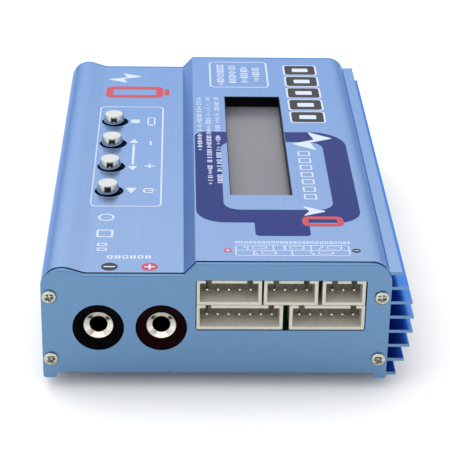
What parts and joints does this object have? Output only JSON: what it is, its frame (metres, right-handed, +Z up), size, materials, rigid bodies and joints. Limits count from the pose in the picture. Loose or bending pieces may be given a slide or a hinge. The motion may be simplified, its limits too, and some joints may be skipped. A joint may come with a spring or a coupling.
{
  "type": "balance battery charger",
  "caption": "Low rectangular battery charger in a finned metal case with a stepped top, display window, push buttons, two output sockets and rows of balance ports.",
  "frame": {"origin": "middle of the case's footprint, on the plane of the rubber feet's undersides", "axes": "+Z up; +X towards the wall with the cooling fins; +Y towards the end with the power inlet, so the end with the output sockets and balance ports faces -Y"},
  "size_m": [0.086, 0.1332, 0.033],
  "materials": {
    "anodised": "fine matt blue anodised extrusion",
    "plated_screw": "bright nickel plate",
    "steel_screw": "zinc plated",
    "rubber_foot": "matt black",
    "display_bezel": "satin black",
    "display_glass": "grey display glass, unlit",
    "display_backlight": "white light guide",
    "circuit_board": "green solder mask",
    "button": "mirror plated",
    "black_socket": "glossy black",
    "red_socket": "glossy dark red",
    "contact": "nickel plated brass",
    "header": "natural white nylon with tinned pins",
    "black_moulding": "satin black",
    "clamp_bar": "plain milled",
    "winding": "enamelled copper wire",
    "can": "plain drawn can"
  },
  "bodies": {
    "case": {"top_cover": "anodised", "base_tray": "anodised", "front_plate": "anodised", "rear_plate": "anodised", "front_screw_1": "plated_screw", "front_screw_2": "plated_screw", "front_screw_3": "plated_screw", "front_screw_4": "plated_screw", "rear_screw_1": "plated_screw", "rear_screw_2": "plated_screw", "rear_screw_3": "plated_screw", "rear_screw_4": "plated_screw", "board_screw_1": "plated_screw", "board_screw_2": "plated_screw", "board_screw_3": "plated_screw", "board_screw_4": "plated_screw", "clamp_screw_1": "steel_screw", "clamp_screw_2": "steel_screw", "rubber_foot_1": "rubber_foot", "rubber_foot_2": "rubber_foot", "rubber_foot_3": "rubber_foot", "rubber_foot_4": "rubber_foot", "lcd_bezel": "display_bezel", "lcd_glass": "display_glass", "lcd_backlight": "display_backlight", "lcd_board": "circuit_board", "key_board": "circuit_board", "balance_board": "circuit_board", "main_board": "circuit_board", "output_socket_negative": "black_socket", "output_socket_positive": "red_socket", "output_contact_negative": "contact", "output_contact_positive": "contact", "balance_header_2s": "header", "balance_header_3s": "header", "balance_header_4s": "header", "balance_header_5s": "header", "balance_header_6s": "header", "sensor_port": "header", "dc_jack": "black_moulding", "switch_start": "black_moulding", "switch_increase": "black_moulding", "switch_decrease": "black_moulding", "switch_stop": "black_moulding", "key_pin_strip": "black_moulding", "lcd_pin_strip": "black_moulding", "controller": "black_moulding", "buzzer": "black_moulding", "power_transistor_1": "black_moulding", "power_transistor_2": "black_moulding", "power_transistor_3": "black_moulding", "clamp_bar": "clamp_bar", "inductor_1": "winding", "inductor_2": "winding", "capacitor_1": "can", "capacitor_2": "can"},
    "button_start": {"button_start": "button"},
    "button_increase": {"button_increase": "button"},
    "button_decrease": {"button_decrease": "button"},
    "button_stop": {"button_stop": "button"}
  },
  "joints": [
    {"name": "button_start_press", "type": "slide", "parent": "case", "child": "button_start", "axis": [0, 0, -1], "range_m": [0, 0.0003], "stiffness_N_per_m": 6000},
    {"name": "button_increase_press", "type": "slide", "parent": "case", "child": "button_increase", "axis": [0, 0, -1], "range_m": [0, 0.0003], "stiffness_N_per_m": 6000},
    {"name": "button_decrease_press", "type": "slide", "parent": "case", "child": "button_decrease", "axis": [0, 0, -1], "range_m": [0, 0.0003], "stiffness_N_per_m": 6000},
    {"name": "button_stop_press", "type": "slide", "parent": "case", "child": "button_stop", "axis": [0, 0, -1], "range_m": [0, 0.0003], "stiffness_N_per_m": 6000}
  ]
}
